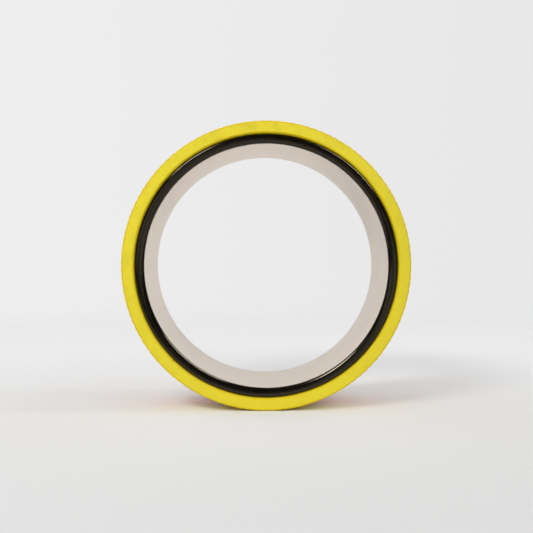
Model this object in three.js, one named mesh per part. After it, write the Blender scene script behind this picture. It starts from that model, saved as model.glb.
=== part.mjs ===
// A deep juggling ring that stands on its rim: a rigid hoop with rounded lips, a thin liner in its bore,
// and three ribbed grip bands side by side around it, with the hoop's bare wall showing between each two.
// Millimetres, +Z up. The origin is the ring's centre, its axis lies along Y, and its front faces -Y.
import * as THREE from "three";

// Driving dimensions.
const RING_RADIUS = 160; // to the crests of the ribs
const RING_WIDTH = 120; // from the front band's face to the rear band's face
const BAND_THICKNESS = 15;
const GROOVE_WIDTH = 12; // between neighbouring bands
const SHOULDER = 2; // chamfer on a band's two outer edges
const RIB_COUNT = 120;
const RIB_DEPTH = 0.6;
const HOOP_WALL = 9.6;
const LIP_SETBACK = 0.6; // from a band's face back to the crown of the hoop's lip
const LIP_CROWN = 2.1; // from the hoop's outside in to the lip's crown
const LIP_OUTER_DEPTH = 2.1; // along the axis, from the crown down to the outside
const LIP_INNER_DEPTH = 2.9; // along the axis, from the crown down to the bore
const LIP_STEPS = 6; // facets on each lip
const LINER_WALL = 0.7;
const GLUE_GAP = 0.3; // between pieces that touch on the real ring
const HOOP_SEGMENTS = 80;

// Derived dimensions.
const BAND_BORE = RING_RADIUS - BAND_THICKNESS;
const HOOP_RADIUS = BAND_BORE - GLUE_GAP;
const HOOP_BORE = HOOP_RADIUS - HOOP_WALL;
const HOOP_WIDTH = RING_WIDTH - 2 * LIP_SETBACK;
const LINER_RADIUS = HOOP_BORE - GLUE_GAP;
const LINER_WIDTH = HOOP_WIDTH - 2 * LIP_INNER_DEPTH; // the liner ends where the lips start to curve

const BANDS = [
  { name: "front_band", colour: 0xe6d22e },
  { name: "middle_band", colour: 0xe88d86 },
  { name: "rear_band", colour: 0xe9e0d2 },
];
const BAND_WIDTH = (RING_WIDTH - (BANDS.length - 1) * GROOVE_WIDTH) / BANDS.length;

function material(colour, roughness) {
  return new THREE.MeshStandardMaterial({ color: colour, roughness, metalness: 0 });
}

// Turns a closed outline about the Y axis. The outline's x is the radius and its y the place along the axis.
function turned(outline, segments) {
  return new THREE.LatheGeometry([...outline, outline[0].clone()], segments);
}

function rectangle(innerRadius, outerRadius, width) {
  return [
    new THREE.Vector2(innerRadius, -width / 2),
    new THREE.Vector2(outerRadius, -width / 2),
    new THREE.Vector2(outerRadius, width / 2),
    new THREE.Vector2(innerRadius, width / 2),
  ];
}

// One rounded end of the hoop's wall, from the outside over the crown into the bore: a steep quarter ellipse
// and then a longer, flatter one. Facing is 1 for the rear end and -1 for the front end.
function lipPoints(facing) {
  return Array.from({ length: LIP_STEPS + 1 }, (_, step) => {
    const angle = (Math.PI * step) / LIP_STEPS;
    const outside = angle < Math.PI / 2;
    const reach = outside ? LIP_CROWN : HOOP_WALL - LIP_CROWN;
    const depth = outside ? LIP_OUTER_DEPTH : LIP_INNER_DEPTH;
    return new THREE.Vector2(
      HOOP_RADIUS - LIP_CROWN + reach * Math.cos(angle),
      facing * (HOOP_WIDTH / 2 - depth * (1 - Math.sin(angle))),
    );
  });
}

// Round the section: the rear lip from the outside in, along the bore, and the front lip from the bore out.
function hoopOutline() {
  return [...lipPoints(1), ...lipPoints(-1).reverse()];
}

// A band's outline has square edges in its bore and chamfered shoulders outside.
function bandOutline() {
  const half = BAND_WIDTH / 2;
  return [
    new THREE.Vector2(BAND_BORE, -half),
    new THREE.Vector2(RING_RADIUS - SHOULDER, -half),
    new THREE.Vector2(RING_RADIUS, SHOULDER - half),
    new THREE.Vector2(RING_RADIUS, half - SHOULDER),
    new THREE.Vector2(RING_RADIUS - SHOULDER, half),
    new THREE.Vector2(BAND_BORE, half),
  ];
}

// Every second column of the outermost points sinks by the rib depth, which leaves a crest between
// two grooves, with a groove at the very bottom.
function cutRibs(geometry, pointsPerColumn) {
  const position = geometry.getAttribute("position");
  const sunk = (RING_RADIUS - RIB_DEPTH) / RING_RADIUS;
  for (let i = 0; i < position.count; i += 1) {
    const column = Math.floor(i / pointsPerColumn);
    const radius = Math.hypot(position.getX(i), position.getZ(i));
    if (column % 2 === 0 && radius > RING_RADIUS - SHOULDER / 2) {
      position.setX(i, position.getX(i) * sunk);
      position.setZ(i, position.getZ(i) * sunk);
    }
  }
  geometry.computeVertexNormals();
}

// Each band is pulled on by itself, so the ribs of neighbours don't line up: the middle band is turned by
// half a rib, which puts one of its crests at the very bottom.
function gripBand({ name, colour }, index) {
  const outline = bandOutline();
  const geometry = turned(outline, 2 * RIB_COUNT);
  cutRibs(geometry, outline.length + 1);
  geometry.rotateY((index % 2) * (Math.PI / RIB_COUNT));
  const band = new THREE.Mesh(geometry, material(colour, 0.6));
  band.name = name;
  band.position.y = (index - (BANDS.length - 1) / 2) * (BAND_WIDTH + GROOVE_WIDTH);
  return band;
}

function coreHoop() {
  const hoop = new THREE.Mesh(turned(hoopOutline(), HOOP_SEGMENTS), material(0x17130f, 0.25));
  hoop.name = "core_hoop";
  return hoop;
}

function boreLiner() {
  const outline = rectangle(LINER_RADIUS - LINER_WALL, LINER_RADIUS, LINER_WIDTH);
  const liner = new THREE.Mesh(turned(outline, HOOP_SEGMENTS), material(0xd2c8bb, 0.45));
  liner.name = "bore_liner";
  return liner;
}

const ring = new THREE.Group();
ring.add(coreHoop(), boreLiner(), ...BANDS.map(gripBand));

export default ring;
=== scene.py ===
"""A deep juggling ring standing on its rim in a small white studio.

Three ribbed soft grip bands sit side by side round a glossy black hoop, which has a thin beige liner in its
bore. The ring's axis lies along Y and its front faces -Y. All is in metres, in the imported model's frame.
"""

import math
from typing import NamedTuple

import bpy
import numpy as np
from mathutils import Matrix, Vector


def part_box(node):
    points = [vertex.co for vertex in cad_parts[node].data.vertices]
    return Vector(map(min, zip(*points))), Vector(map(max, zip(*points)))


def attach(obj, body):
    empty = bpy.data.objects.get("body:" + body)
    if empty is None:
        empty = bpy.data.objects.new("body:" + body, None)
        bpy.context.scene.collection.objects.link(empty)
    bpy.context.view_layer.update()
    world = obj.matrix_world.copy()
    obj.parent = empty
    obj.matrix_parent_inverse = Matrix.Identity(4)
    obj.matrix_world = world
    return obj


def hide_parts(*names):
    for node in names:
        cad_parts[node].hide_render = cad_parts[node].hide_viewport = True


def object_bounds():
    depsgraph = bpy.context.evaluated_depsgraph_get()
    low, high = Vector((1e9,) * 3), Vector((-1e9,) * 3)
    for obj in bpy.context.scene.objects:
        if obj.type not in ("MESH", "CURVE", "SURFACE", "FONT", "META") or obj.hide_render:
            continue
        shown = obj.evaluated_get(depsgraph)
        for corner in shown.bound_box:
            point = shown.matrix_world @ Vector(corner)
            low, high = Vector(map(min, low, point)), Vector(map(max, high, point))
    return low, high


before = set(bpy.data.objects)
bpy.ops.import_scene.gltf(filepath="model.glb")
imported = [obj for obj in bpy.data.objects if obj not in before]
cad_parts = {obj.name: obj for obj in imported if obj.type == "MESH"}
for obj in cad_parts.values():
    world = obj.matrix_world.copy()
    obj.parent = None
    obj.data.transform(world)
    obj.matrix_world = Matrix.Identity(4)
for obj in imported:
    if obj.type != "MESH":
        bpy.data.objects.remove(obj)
cad_low, cad_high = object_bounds()

MM = 0.001
FLOOR_Z = cad_low.z

# Fine shape of the pieces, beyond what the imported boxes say.
GLUE_GAP = 0.3 * MM  # between pieces that touch on the real ring
RIB_COUNT = 120
RIB_DEPTH = 0.5 * MM
RIB_SHARPNESS = 1.5  # a higher power makes narrower grooves
COLUMNS_PER_RIB = 8
BAND_OUTER_ROUNDING = 2.6 * MM
BAND_INNER_ROUNDING = 3.0 * MM
BAND_ARC_STEPS = 8
BAND_STRETCH = 3 * MM  # longest straight stretch in a band's outline
TUBE_COLUMNS = 360  # round the hoop and the liner
LIP_CROWN = 2.1 * MM  # from the hoop's outside in to the lip's crown
LIP_OUTER_DEPTH = 2.1 * MM
LIP_INNER_DEPTH = 2.9 * MM
LIP_OUTER_STEPS = 12
LIP_INNER_STEPS = 20
LINER_WALL = 0.7 * MM
LINER_EDGE = 0.3 * MM
LINER_EDGE_STEPS = 4

# Wear where a band meets the hoop: a wandering edge with a few nicks. The rim there also gets painted shade.
BORE_UNEVENNESS = 0.7 * MM
WANDER_COUNTS = (2, 5, 9, 23, 47, 61)  # waves round the ring
WANDER_SEED = 4
NICK_WIDTH = math.radians(0.6)
NICKS = [(44.6, 1.0 * MM), (198.6, 0.8 * MM), (229.3, 0.8 * MM)]  # degrees round from the bottom, and depth
# how far out from the hoop the painted shade on a band's end reaches
SEAM_SHADE_WIDTH = 1.7 * MM

# Surfaces, beyond the tints of each band. Colours are linear.
FLAT_FROM = 0.97  # the Y part of a normal from which a surface starts to count as a flat end
# The next three lines set painted light: a band's face is painted paler towards its top left.
TOP_LIGHT_GAIN = 1.14  # how much paler a band's face gets towards the top
TOP_LIGHT_DIRECTION = (-0.3, 0.0, 0.95)
TOP_LIGHT_STRETCH = (-50 * MM, 160 * MM)  # along that direction, from the ring's centre
HOOP_BLACK = (0.004, 0.003, 0.002)
HOOP_DUST = (0.05, 0.045, 0.035)
HOOP_REFLECTION = (1.0, 0.86, 0.62)
# The liner's two tints are painted shade low on the right and painted light high on the left.
LINER_SHADED_TINTS = [(0.65, 0.58, 0.50), (0.68, 0.61, 0.53)]  # the two tints of its clouding, low on the right
LINER_LIT_TINTS = [(0.88, 0.79, 0.69), (0.91, 0.82, 0.72)]  # and high on the left
LINER_LIGHT_DIRECTION = (-0.7, 0.0, 0.7)
LINER_LIGHT_STRETCH = (-130 * MM, 130 * MM)

# Camera: a normal lens almost on the ring's axis, a little left of it and a little above it.
SENSOR_WIDTH = 36.0  # this and the lens are in millimetres, as Blender has them
LENS = 49.75
CAMERA_DISTANCE = 812.4 * MM  # in front of the liner's front end, measured along Y
CAMERA_LEFT = 16.6 * MM
CAMERA_ABOVE = 8.4 * MM
CAMERA_YAW = math.radians(1.155)  # to the right
CAMERA_PITCH = math.radians(0.64)  # downwards

# Studio.
FLOOR_SOLID = 0.4  # the floor is whole as far as this from the ring
FLOOR_EDGE = 1.9  # and has thinned out to nothing by here
FLOOR_MARGIN = 1.1  # the sheet's half width, as a share of FLOOR_EDGE
FLOOR_WHITE = 0.98
# The floor's front white is painted shade: the sheet greys towards the camera.
FLOOR_SHADED_WHITE = 0.71
FLOOR_SHADE_STRETCH = (-0.9, 0.7)  # the stretch of Y over which the front white turns into the floor's own
TENT = {  # brightness of the white tent's four sides: near the floor, halfway up and overhead
    "front": (0.0, 2.1, 0.45),
    "back": (0.9, 1.25, 0.0),
    "left": (0.3, 1.7, 0.35),
    "right": (0.35, 1.6, 0.2),
}
TENT_RISE = (0.26, 0.5)  # the heights, as sines of the elevation, over which low turns into halfway up
TENT_FALL = (0.55, 0.8)  # and halfway up into overhead
WALL_GLOW = 0.9  # the pale wall that glossy surfaces mirror behind the ring
ROOM_GLOW = 0.03  # and the dark room in front of it
ROOM_EDGE = (-0.15, 0.35)  # where room turns into wall, as the Y part of a direction
BACKDROP_LEFT = 0.86
BACKDROP_RIGHT = 0.80
BACKDROP_EDGE = 0.5  # the X part of a direction that has reached the left's or the right's grey
LEAST_LEVEL = 0.0001  # stands in for 0 as a divisor, straight overhead


# ---------------------------------------------------------------- meshes


def mesh_object(name, vertices, faces):
    mesh = bpy.data.meshes.new(name)
    mesh.from_pydata([tuple(v) for v in vertices], [], faces)
    mesh.validate()
    mesh.shade_smooth()
    made = bpy.data.objects.new(name, mesh)
    bpy.context.scene.collection.objects.link(made)
    return made


def revolve(name, outline, columns, reshape=None):
    """Turns a closed outline of (radius, y), counterclockwise with the radius to the right, about the Y axis.

    reshape, if given, takes arrays of the angle, the radius and y of every vertex, and returns the new radius
    and y. The angle is 0 at the bottom of the ring and a quarter turn on its -X side.
    """
    angle = np.linspace(0, 2 * math.pi, columns, endpoint=False)[:, None]
    outline = np.array(outline)
    radius = np.repeat(outline[None, :, 0], columns, axis=0)
    y = np.repeat(outline[None, :, 1], columns, axis=0)
    if reshape:
        radius, y = reshape(angle, radius, y)
    vertices = np.stack([-radius * np.sin(angle), y, -radius * np.cos(angle)], axis=-1)
    points = len(outline)
    faces = []
    for column in range(columns):
        beyond = (column + 1) % columns
        for point in range(points):
            after = (point + 1) % points
            faces.append(
                (
                    column * points + point,
                    beyond * points + point,
                    beyond * points + after,
                    column * points + after,
                )
            )
    return mesh_object(name, vertices.reshape(-1, 3), faces)


def arc(centre, radii, start, end, steps):
    """Points of an elliptic arc in an outline. Its angles are degrees from outward towards +Y."""
    angles = np.radians(np.linspace(start, end, steps + 1))
    return [(centre[0] + radii[0] * math.cos(a), centre[1] + radii[1] * math.sin(a)) for a in angles]


def rounded_rectangle(inner, outer, low, high, bend_in, bend_out, steps):
    """A closed outline, counterclockwise from its inner front corner, whose corners have these radii."""
    return [
        *arc((inner + bend_in, low + bend_in), (bend_in, bend_in), 180, 270, steps),
        *arc((outer - bend_out, low + bend_out), (bend_out, bend_out), 270, 360, steps),
        *arc((outer - bend_out, high - bend_out), (bend_out, bend_out), 0, 90, steps),
        *arc((inner + bend_in, high - bend_in), (bend_in, bend_in), 90, 180, steps),
    ]


def subdivided(outline, longest):
    """The same closed outline with each long straight stretch cut into shorter ones."""
    made = []
    for here, there in zip(outline, outline[1:] + outline[:1]):
        pieces = max(1, math.ceil(math.dist(here, there) / longest))
        for step in range(pieces):
            share = step / pieces
            made.append(tuple(a + (b - a) * share for a, b in zip(here, there)))
    return made


# ---------------------------------------------------------------- materials


def new_material(name):
    """A node material, its node tree, and its shader."""
    material = bpy.data.materials.new(name)
    material.use_nodes = True
    tree = material.node_tree
    return material, tree, tree.nodes["Principled BSDF"]


def noise(tree, scale, detail=3.0):
    """Noise in the object's own coordinates, its scale in cycles per metre."""
    coordinates = tree.nodes.new("ShaderNodeTexCoord")
    texture = tree.nodes.new("ShaderNodeTexNoise")
    texture.inputs["Scale"].default_value = scale
    texture.inputs["Detail"].default_value = detail
    texture.inputs["Roughness"].default_value = 0.55
    tree.links.new(coordinates.outputs["Object"], texture.inputs["Vector"])
    return texture.outputs["Fac"]


def smooth_step(tree, value, low, high, at_low, at_high):
    """Maps value from low..high to at_low..at_high with soft ends."""
    node = tree.nodes.new("ShaderNodeMapRange")
    node.interpolation_type = "SMOOTHSTEP"
    for socket, number in zip(("From Min", "From Max", "To Min", "To Max"), (low, high, at_low, at_high)):
        node.inputs[socket].default_value = number
    tree.links.new(value, node.inputs["Value"])
    return node.outputs["Result"]


def calculate(tree, operation, *values):
    """A maths node over outputs or plain numbers."""
    node = tree.nodes.new("ShaderNodeMath")
    node.operation = operation
    for socket, value in zip(node.inputs, values):
        if isinstance(value, bpy.types.NodeSocket):
            tree.links.new(value, socket)
        else:
            socket.default_value = value
    return node.outputs[0]


def ramp(tree, factor, low, high):
    """A colour ramp over factor between two stops. Each is (place, grey or linear colour)."""
    node = tree.nodes.new("ShaderNodeValToRGB")
    for element, (place, value) in zip(node.color_ramp.elements, (low, high)):
        element.position = place
        colour = value if isinstance(value, tuple) else (value, value, value)
        element.color = (*colour, 1.0)
    tree.links.new(factor, node.inputs["Fac"])
    return node.outputs["Color"]


def bump(tree, height, distance, strength=1.0, under=None):
    """A bump from a height, its distance in metres, on top of another bump's normal."""
    node = tree.nodes.new("ShaderNodeBump")
    node.inputs["Distance"].default_value = distance
    node.inputs["Strength"].default_value = strength
    tree.links.new(height, node.inputs["Height"])
    if under is not None:
        tree.links.new(under, node.inputs["Normal"])
    return node.outputs["Normal"]


def socket_of_kind(sockets, name, kind):
    """The socket of a kind, where several of one node share a name."""
    return next(socket for socket in sockets if socket.name == name and socket.type == kind)


def blend(tree, factor, first, second, kind="RGBA"):
    """A mix of two outputs of a kind, which is RGBA for colours and VALUE for plain numbers."""
    node = tree.nodes.new("ShaderNodeMix")
    node.data_type = "FLOAT" if kind == "VALUE" else kind
    tree.links.new(factor, node.inputs["Factor"])
    tree.links.new(first, socket_of_kind(node.inputs, "A", kind))
    tree.links.new(second, socket_of_kind(node.inputs, "B", kind))
    return socket_of_kind(node.outputs, "Result", kind)


def flat_ends(tree):
    """1 where the surface faces along the ring's axis and 0 round its edges and on its rim."""
    geometry = tree.nodes.new("ShaderNodeNewGeometry")
    split = tree.nodes.new("ShaderNodeSeparateXYZ")
    tree.links.new(geometry.outputs["Normal"], split.inputs[0])
    return smooth_step(tree, calculate(tree, "ABSOLUTE", split.outputs["Y"]), FLAT_FROM, 1.0, 0.0, 1.0)


def seam_mask(tree):
    """1 where a band meets the hoop, fading to 0 a little way out: where the painted shade there lies."""
    coordinates = tree.nodes.new("ShaderNodeTexCoord")
    across = tree.nodes.new("ShaderNodeVectorMath")
    across.operation = "MULTIPLY"
    across.inputs[1].default_value = (1.0, 0.0, 1.0)
    tree.links.new(coordinates.outputs["Object"], across.inputs[0])
    radius = tree.nodes.new("ShaderNodeVectorMath")
    radius.operation = "LENGTH"
    tree.links.new(across.outputs["Vector"], radius.inputs[0])
    hoop_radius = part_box("core_hoop")[1].x
    return smooth_step(tree, radius.outputs["Value"], hoop_radius, hoop_radius + SEAM_SHADE_WIDTH, 1.0, 0.0)


def place_along(tree, direction, low, high):
    """0 to 1 across the ring along a direction, between two distances from its centre."""
    coordinates = tree.nodes.new("ShaderNodeTexCoord")
    along = tree.nodes.new("ShaderNodeVectorMath")
    along.operation = "DOT_PRODUCT"
    along.inputs[1].default_value = direction
    tree.links.new(coordinates.outputs["Object"], along.inputs[0])
    return smooth_step(tree, along.outputs["Value"], low, high, 0.0, 1.0)


def scaled(colour, share):
    return tuple(min(1.0, share * part) for part in colour)


def band_rubber(band):
    """Soft matte rubber with a fine grain: a cloudy tint on the rim, and paler ends whose tint is a painted
    sheen.

    The sheen on the ends is painted lighter towards the top left, as painted light, and the ends carry
    painted shade where they meet the hoop.
    """
    material, tree, shader = new_material(band.slot.replace("_", " "))
    cloudy = ramp(tree, noise(tree, 38), (0.3, band.dark), (0.7, band.light))
    # the flat ends take a paler tint: a painted sheen
    ends_sheen = ramp(tree, noise(tree, 60), (0.3, scaled(band.face_sheen, 0.96)), (0.55, band.face_sheen))
    # painted light: the sheen made paler towards the top left
    top_lit_sheen = ramp(tree, noise(tree, 60), (0.3, band.face_sheen), (0.55, scaled(band.face_sheen, TOP_LIGHT_GAIN)))
    top_light_mask = place_along(tree, TOP_LIGHT_DIRECTION, *TOP_LIGHT_STRETCH)
    flat = blend(tree, top_light_mask, ends_sheen, top_lit_sheen)
    band_surface = blend(tree, flat_ends(tree), cloudy, flat)
    # painted shade where a band meets the hoop: darker copies of the band's own tint
    seam_shade = ramp(tree, noise(tree, 200), (0.3, scaled(band.dark, 0.45)), (0.7, scaled(band.dark, 0.6)))
    tree.links.new(blend(tree, seam_mask(tree), band_surface, seam_shade), shader.inputs["Base Color"])
    tree.links.new(ramp(tree, noise(tree, 90), (0.3, 0.5), (0.7, 0.64)), shader.inputs["Roughness"])
    grain = bump(tree, noise(tree, 2600, 2.0), 0.12 * MM)
    tree.links.new(bump(tree, noise(tree, 240), 0.4 * MM, 0.6, grain), shader.inputs["Normal"])
    shader.inputs["Specular IOR Level"].default_value = 0.15
    return material


def hoop_gloss(name):
    """Glossy black plastic with faint handling haze and a few specks of dust."""
    material, tree, shader = new_material(name)
    dust = ramp(tree, noise(tree, 900, 1.0), (0.74, HOOP_BLACK), (0.8, HOOP_DUST))
    tree.links.new(dust, shader.inputs["Base Color"])
    tree.links.new(ramp(tree, noise(tree, 60), (0.35, 0.08), (0.7, 0.16)), shader.inputs["Roughness"])
    tree.links.new(bump(tree, noise(tree, 130), 0.2 * MM, 0.5), shader.inputs["Normal"])
    shader.inputs["Specular Tint"].default_value = (*HOOP_REFLECTION, 1.0)
    return material


def liner_sheet(name):
    """Smooth satin beige sheet, with painted light making it a little paler towards the top and the left, and
    painted shade making it darker low on the right.
    """
    material, tree, shader = new_material(name)
    # painted light and shade: paler high on the left, darker low on the right
    paleness = place_along(tree, LINER_LIGHT_DIRECTION, *LINER_LIGHT_STRETCH)
    deep = ramp(tree, noise(tree, 25), (0.3, LINER_SHADED_TINTS[0]), (0.7, LINER_SHADED_TINTS[1]))
    pale = ramp(tree, noise(tree, 25), (0.3, LINER_LIT_TINTS[0]), (0.7, LINER_LIT_TINTS[1]))
    tree.links.new(blend(tree, paleness, deep, pale), shader.inputs["Base Color"])
    tree.links.new(ramp(tree, noise(tree, 300), (0.3, 0.42), (0.7, 0.52)), shader.inputs["Roughness"])
    tree.links.new(bump(tree, noise(tree, 1500, 2.0), 0.05 * MM), shader.inputs["Normal"])
    return material


# ---------------------------------------------------------------- pieces


def finish_piece(piece, node, material):
    piece.data.materials.append(material)
    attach(piece, "root")
    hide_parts(node)


def wander(angle):
    """An uneven course round the ring, from 0 to 1."""
    chance = np.random.default_rng(WANDER_SEED)
    waves = [np.sin(count * angle + chance.uniform(0, 2 * math.pi)) for count in WANDER_COUNTS]
    return 0.5 + 0.5 * sum(waves) / len(waves)


def nicks(angle):
    """How far the nicks reach out from the edge that they are in, at each angle."""
    reach = np.zeros_like(angle)
    for degrees, depth in NICKS:
        reach += depth * np.exp(-(((angle - math.radians(degrees)) / NICK_WIDTH) ** 2))
    return reach


class Band(NamedTuple):
    """A grip band: its names, its turn and its three tints, the last being a painted sheen for its flat ends.

    rib_turn is the share of a rib by which it sits turned from having a groove at the very bottom.
    """

    piece: str
    node: str
    slot: str
    rib_turn: float
    light: tuple
    dark: tuple
    face_sheen: tuple


# each band's last tint is the painted sheen on its flat ends
BANDS = [
    Band(
        piece="front_grip",
        node="front_band",
        slot="yellow_rubber",
        rib_turn=0.0,
        light=(0.83, 0.63, 0.003),
        dark=(0.80, 0.60, 0.002),
        face_sheen=(0.87, 0.72, 0.033),
    ),
    Band(
        piece="middle_grip",
        node="middle_band",
        slot="pink_rubber",
        rib_turn=0.5,
        light=(0.97, 0.38, 0.35),
        dark=(0.94, 0.35, 0.32),
        face_sheen=(0.97, 0.44, 0.41),
    ),
    Band(
        piece="rear_grip",
        node="rear_band",
        slot="cream_rubber",
        rib_turn=0.0,
        light=(0.88, 0.82, 0.74),
        dark=(0.85, 0.79, 0.70),
        face_sheen=(0.90, 0.85, 0.78),
    ),
]


def grip_band(band):
    """A soft band with rounded shoulders, fine ribs across its rim and an uneven bore edge in front."""
    low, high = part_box(band.node)
    crest = cad_high.z
    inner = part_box("core_hoop")[1].x + GLUE_GAP
    roundings = (BAND_INNER_ROUNDING, BAND_OUTER_ROUNDING)
    outline = rounded_rectangle(inner, crest, low.y, high.y, *roundings, BAND_ARC_STEPS)

    def reshape(angle, radius, y):
        rim = np.clip((radius - (crest - BAND_OUTER_ROUNDING)) / BAND_OUTER_ROUNDING, 0, 1)
        groove = (1 - np.abs(np.sin(angle * RIB_COUNT / 2 + band.rib_turn * math.pi))) ** RIB_SHARPNESS
        front = y < low.y + BAND_INNER_ROUNDING
        near_bore = np.clip(1 - (radius - inner) / BAND_INNER_ROUNDING, 0, 1) * front
        uneven = (BORE_UNEVENNESS * wander(angle) + nicks(angle)) * near_bore
        return radius - RIB_DEPTH * groove * rim + uneven, y

    columns = RIB_COUNT * COLUMNS_PER_RIB
    made = revolve(band.piece, subdivided(outline, BAND_STRETCH), columns, reshape)
    finish_piece(made, band.node, band_rubber(band))


def hoop():
    """The rigid hoop: a thick tube whose ends are rounded lips."""
    low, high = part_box("core_hoop")
    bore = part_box("bore_liner")[1].x + GLUE_GAP
    crown = high.x - LIP_CROWN
    outer_curve = (LIP_CROWN, LIP_OUTER_DEPTH)
    inner_curve = (crown - bore, LIP_INNER_DEPTH)
    outline = [
        *arc((crown, high.y - LIP_OUTER_DEPTH), outer_curve, 0, 90, LIP_OUTER_STEPS),
        *arc((crown, high.y - LIP_INNER_DEPTH), inner_curve, 90, 180, LIP_INNER_STEPS)[1:],
        *arc((crown, low.y + LIP_INNER_DEPTH), inner_curve, 180, 270, LIP_INNER_STEPS),
        *arc((crown, low.y + LIP_OUTER_DEPTH), outer_curve, 270, 360, LIP_OUTER_STEPS)[1:],
    ]
    made = revolve("hoop", outline, TUBE_COLUMNS)
    finish_piece(made, "core_hoop", hoop_gloss("hoop gloss"))


def liner():
    """The thin liner glued into the hoop's bore."""
    low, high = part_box("bore_liner")
    roundings = (LINER_EDGE, LINER_EDGE)
    outline = rounded_rectangle(high.x - LINER_WALL, high.x, low.y, high.y, *roundings, LINER_EDGE_STEPS)
    made = revolve("liner", outline, TUBE_COLUMNS)
    finish_piece(made, "bore_liner", liner_sheet("liner sheet"))


# ---------------------------------------------------------------- studio


def floor():
    """A matte white sheet, painted greyer towards the camera as painted shade, that thins out far off and so
    shows no edge.
    """
    half = FLOOR_EDGE * FLOOR_MARGIN
    corners = [(-half, -half), (half, -half), (half, half), (-half, half)]
    made = mesh_object("studio_floor", [(x, y, FLOOR_Z) for x, y in corners], [(0, 1, 2, 3)])
    material, tree, shader = new_material("studio white")
    coordinates = tree.nodes.new("ShaderNodeTexCoord")
    split = tree.nodes.new("ShaderNodeSeparateXYZ")
    tree.links.new(coordinates.outputs["Object"], split.inputs[0])
    # painted shade: greyer towards the camera
    white = smooth_step(tree, split.outputs["Y"], *FLOOR_SHADE_STRETCH, FLOOR_SHADED_WHITE, FLOOR_WHITE)
    tree.links.new(white, shader.inputs["Base Color"])
    shader.inputs["Roughness"].default_value = 0.9
    shader.inputs["Specular IOR Level"].default_value = 0.1
    distance = tree.nodes.new("ShaderNodeVectorMath")
    distance.operation = "LENGTH"
    tree.links.new(coordinates.outputs["Object"], distance.inputs[0])
    fade = smooth_step(tree, distance.outputs["Value"], FLOOR_SOLID, FLOOR_EDGE, 1.0, 0.0)
    tree.links.new(fade, shader.inputs["Alpha"])
    made.data.materials.append(material)


def tent_side(tree, towards, level, height, brightness):
    """One side's part in the tent's glow: its brightness by height, which fades away round the ring.

    towards is how far the direction points to this side, and level the square of its part along the floor.
    """
    low, middle, top = brightness
    facing = calculate(tree, "MAXIMUM", towards, 0.0)
    share = calculate(tree, "DIVIDE", calculate(tree, "MULTIPLY", facing, facing), level)
    rising = smooth_step(tree, height, *TENT_RISE, low, middle)
    glow = calculate(tree, "ADD", rising, smooth_step(tree, height, *TENT_FALL, 0.0, top - middle))
    return calculate(tree, "MULTIPLY", share, glow)


def tent_glow(tree, x, y, z):
    """The whole tent's glow in the direction (x, y, z)."""
    level = calculate(tree, "ADD", calculate(tree, "MULTIPLY", x, x), calculate(tree, "MULTIPLY", y, y))
    level = calculate(tree, "MAXIMUM", level, LEAST_LEVEL)
    towards = {
        "front": calculate(tree, "MULTIPLY", y, -1.0),
        "back": y,
        "left": calculate(tree, "MULTIPLY", x, -1.0),
        "right": x,
    }
    glow = 0.0
    for side, brightness in TENT.items():
        glow = calculate(tree, "ADD", glow, tent_side(tree, towards[side], level, z, brightness))
    return glow


def room_light():
    """Light from a white tent round the ring.

    Glossy surfaces mirror a dark room in front and a pale wall behind instead, and the camera sees a plain
    pale backdrop.
    """
    world = bpy.data.worlds.new("studio")
    world.use_nodes = True
    tree = world.node_tree
    coordinates = tree.nodes.new("ShaderNodeTexCoord")
    split = tree.nodes.new("ShaderNodeSeparateXYZ")
    tree.links.new(coordinates.outputs["Generated"], split.inputs[0])
    x, y, z = split.outputs
    ray = tree.nodes.new("ShaderNodeLightPath")
    mirrored = smooth_step(tree, y, *ROOM_EDGE, ROOM_GLOW, WALL_GLOW)
    backdrop = smooth_step(tree, x, -BACKDROP_EDGE, BACKDROP_EDGE, BACKDROP_LEFT, BACKDROP_RIGHT)
    glow = blend(tree, ray.outputs["Is Glossy Ray"], tent_glow(tree, x, y, z), mirrored, "VALUE")
    glow = blend(tree, ray.outputs["Is Camera Ray"], glow, backdrop, "VALUE")
    tree.links.new(glow, tree.nodes["Background"].inputs["Color"])
    bpy.context.scene.world = world


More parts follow.
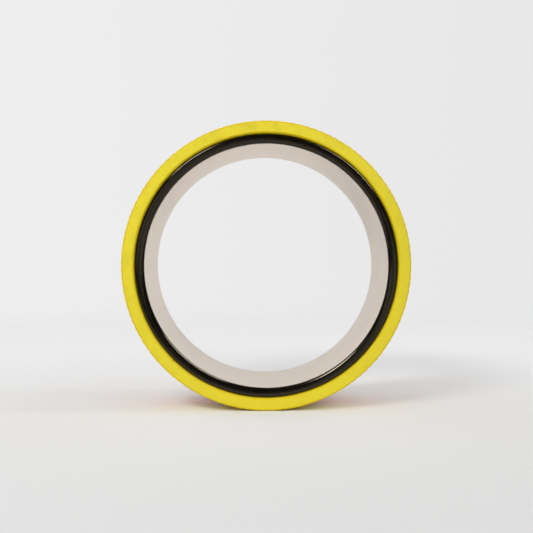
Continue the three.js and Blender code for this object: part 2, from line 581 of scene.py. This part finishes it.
class Light(NamedTuple):
    """A rectangular area light that faces the ring's centre.

    Azimuth 0 is in front of the ring and 90 on its right. Size is across and then along the light's slope.
    Strength goes with the brightness of its face. A gleam shows in glossy surfaces and lights nothing else.
    """

    name: str
    azimuth: float
    elevation: float
    distance: float
    size: tuple
    strength: float
    is_gleam: bool


LIGHTS = [
    Light("right strip", 88, 52, 3.0, size=(0.10, 1.9), strength=13.5, is_gleam=False),
    Light("left box", -36, 40, 1.8, size=(0.72, 0.22), strength=17, is_gleam=False),
    Light("right gleam", 62, 48.5, 3.0, size=(0.40, 1.9), strength=42, is_gleam=True),
    Light("left gleam", -33, 38, 3.0, size=(1.2, 0.36), strength=27, is_gleam=True),
    Light("right card", 20, -3, 1.3, size=(0.85, 0.2), strength=0.8, is_gleam=True),
    Light("left card", -20, 4, 1.3, size=(0.85, 0.2), strength=0.8, is_gleam=True),
]


def area_light(light):
    azimuth, elevation = math.radians(light.azimuth), math.radians(light.elevation)
    level = math.cos(elevation)
    towards = Vector((math.sin(azimuth) * level, -math.cos(azimuth) * level, math.sin(elevation)))
    lamp_data = bpy.data.lights.new(light.name, "AREA")
    lamp_data.shape = "RECTANGLE"
    lamp_data.size, lamp_data.size_y = light.size
    lamp_data.energy = light.strength * math.pi * light.size[0] * light.size[1]
    lamp = bpy.data.objects.new(light.name, lamp_data)
    lamp.location = towards * light.distance
    lamp.rotation_euler = towards.to_track_quat("Z", "Y").to_euler()
    lamp.visible_camera = False
    lamp.visible_diffuse = not light.is_gleam
    bpy.context.scene.collection.objects.link(lamp)


def studio():
    floor()
    room_light()
    for light in LIGHTS:
        area_light(light)
    bpy.context.scene.view_settings.view_transform = "Standard"


def camera():
    lens = bpy.data.cameras.new("camera")
    lens.sensor_width = SENSOR_WIDTH
    lens.lens = LENS
    made = bpy.data.objects.new("camera", lens)
    liner_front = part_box("bore_liner")[0].y
    made.location = (-CAMERA_LEFT, liner_front - CAMERA_DISTANCE, CAMERA_ABOVE)
    made.rotation_euler = (math.pi / 2 - CAMERA_PITCH, 0, -CAMERA_YAW)
    bpy.context.scene.collection.objects.link(made)
    bpy.context.scene.camera = made


# ---------------------------------------------------------------- the scene

camera()
studio()
for band in BANDS:
    grip_band(band)
hoop()
liner()
